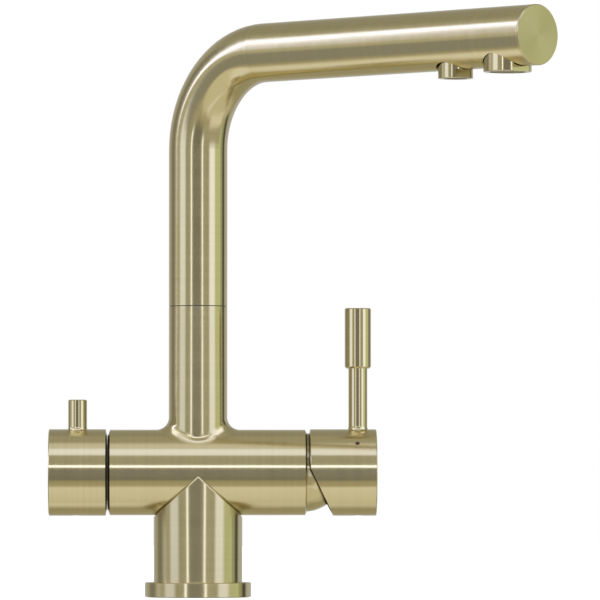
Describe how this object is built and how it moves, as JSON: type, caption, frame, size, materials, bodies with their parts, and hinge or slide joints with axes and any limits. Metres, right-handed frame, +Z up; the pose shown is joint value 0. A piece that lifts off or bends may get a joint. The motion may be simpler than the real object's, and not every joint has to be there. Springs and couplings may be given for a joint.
{
  "type": "three way filtered water tap",
  "caption": "Deck-mounted kitchen tap: side lever mixes hot and cold, the knob opposite opens filtered water, and a tall swivelling L-shaped spout carries both to separate outlets.",
  "frame": {"origin": "on the swivel axis, at the underside of the base gasket, where the tap meets the worktop", "axes": "+Z up along the swivel axis; +X along the crossbar towards the mixer lever; the user stands at -Y"},
  "size_m": [0.2357, 0.1887, 0.2732],
  "materials": {
    "gold_turned": "brushed gold, turned",
    "gold_drawn": "brushed gold, along the tube",
    "raw_brass": "machined brass",
    "stainless": "plain stainless steel",
    "white_ceramic": "lapped ceramic",
    "cartridge_plastic": "moulded acetal",
    "aerator_plastic": "moulded acetal, grey",
    "dark_plastic": "moulded acetal",
    "black_rubber": "moulded rubber",
    "tube_plastic": "drawn tube",
    "red_enamel": "enamel",
    "blue_enamel": "enamel"
  },
  "bodies": {
    "body": {"tap_body": "gold_turned", "body_column": "gold_turned", "base_flange": "gold_turned", "base_gasket": "black_rubber", "thrust_ring": "dark_plastic", "spout_retaining_screw": "stainless", "cartridge_port_seals": "black_rubber", "cartridge_base": "cartridge_plastic", "cartridge_fixed_disc": "white_ceramic", "cartridge_case": "cartridge_plastic", "cartridge_nut": "raw_brass", "dome_cover": "gold_turned", "filter_seat_seal": "black_rubber", "filter_fixed_disc": "white_ceramic", "filter_headwork": "raw_brass", "headwork_seal": "black_rubber", "knob_slip_ring": "dark_plastic"},
    "rotor": {"cartridge_rotor": "cartridge_plastic", "stem_pin": "stainless"},
    "slider": {"cartridge_moving_disc": "white_ceramic", "cartridge_disc_carrier": "cartridge_plastic"},
    "handle": {"cartridge_stem": "stainless", "mixer_handle": "gold_turned", "lever_rod": "gold_turned", "lever_grip": "gold_turned", "handle_grub_screw": "stainless", "hot_mark": "red_enamel", "cold_mark": "blue_enamel"},
    "filter_control": {"filter_moving_disc": "white_ceramic", "filter_spindle": "raw_brass", "filter_spindle_seals": "black_rubber", "spindle_circlip": "stainless", "filter_knob": "gold_turned", "filter_pin": "gold_turned", "knob_grub_screw": "stainless"},
    "spout": {"spout_tube": "gold_drawn", "spout_end_cap": "gold_turned", "swivel_spigot": "raw_brass", "spigot_glide_rings": "cartridge_plastic", "spigot_seals": "black_rubber", "filtered_water_tube": "tube_plastic", "filtered_tube_nipple": "raw_brass", "nipple_seals": "black_rubber", "main_outlet_boss": "raw_brass", "main_aerator_housing": "gold_turned", "main_aerator_insert": "aerator_plastic", "main_aerator_washer": "black_rubber", "filtered_outlet_boss": "raw_brass", "filtered_outlet_housing": "gold_turned", "filtered_outlet_insert": "aerator_plastic", "filtered_outlet_washer": "black_rubber"}
  },
  "joints": [
    {"name": "spout_swivel", "type": "hinge", "parent": "body", "child": "spout", "pos_m": [0, 0, 0.1394], "axis": [0, 0, 1], "continuous": true},
    {"name": "temperature_turn", "type": "hinge", "parent": "body", "child": "rotor", "pos_m": [0, 0, 0.0597], "axis": [1, 0, 0], "range_deg": [-45, 45]},
    {"name": "lever_tilt", "type": "hinge", "parent": "rotor", "child": "handle", "pos_m": [0.051, 0, 0.0597], "axis": [0, 1, 0], "range_deg": [0, 25]},
    {"name": "disc_slide", "type": "slide", "parent": "rotor", "child": "slider", "axis": [0, 0, 1], "range_m": [0, 0.0054]},
    {"name": "filter_turn", "type": "hinge", "parent": "body", "child": "filter_control", "pos_m": [-0.0583, 0, 0.0597], "axis": [1, 0, 0], "range_deg": [0, 90]}
  ],
  "couplings": [
    {"joint": "disc_slide", "follows": "lever_tilt", "m_per_rad": 0.0123}
  ]
}
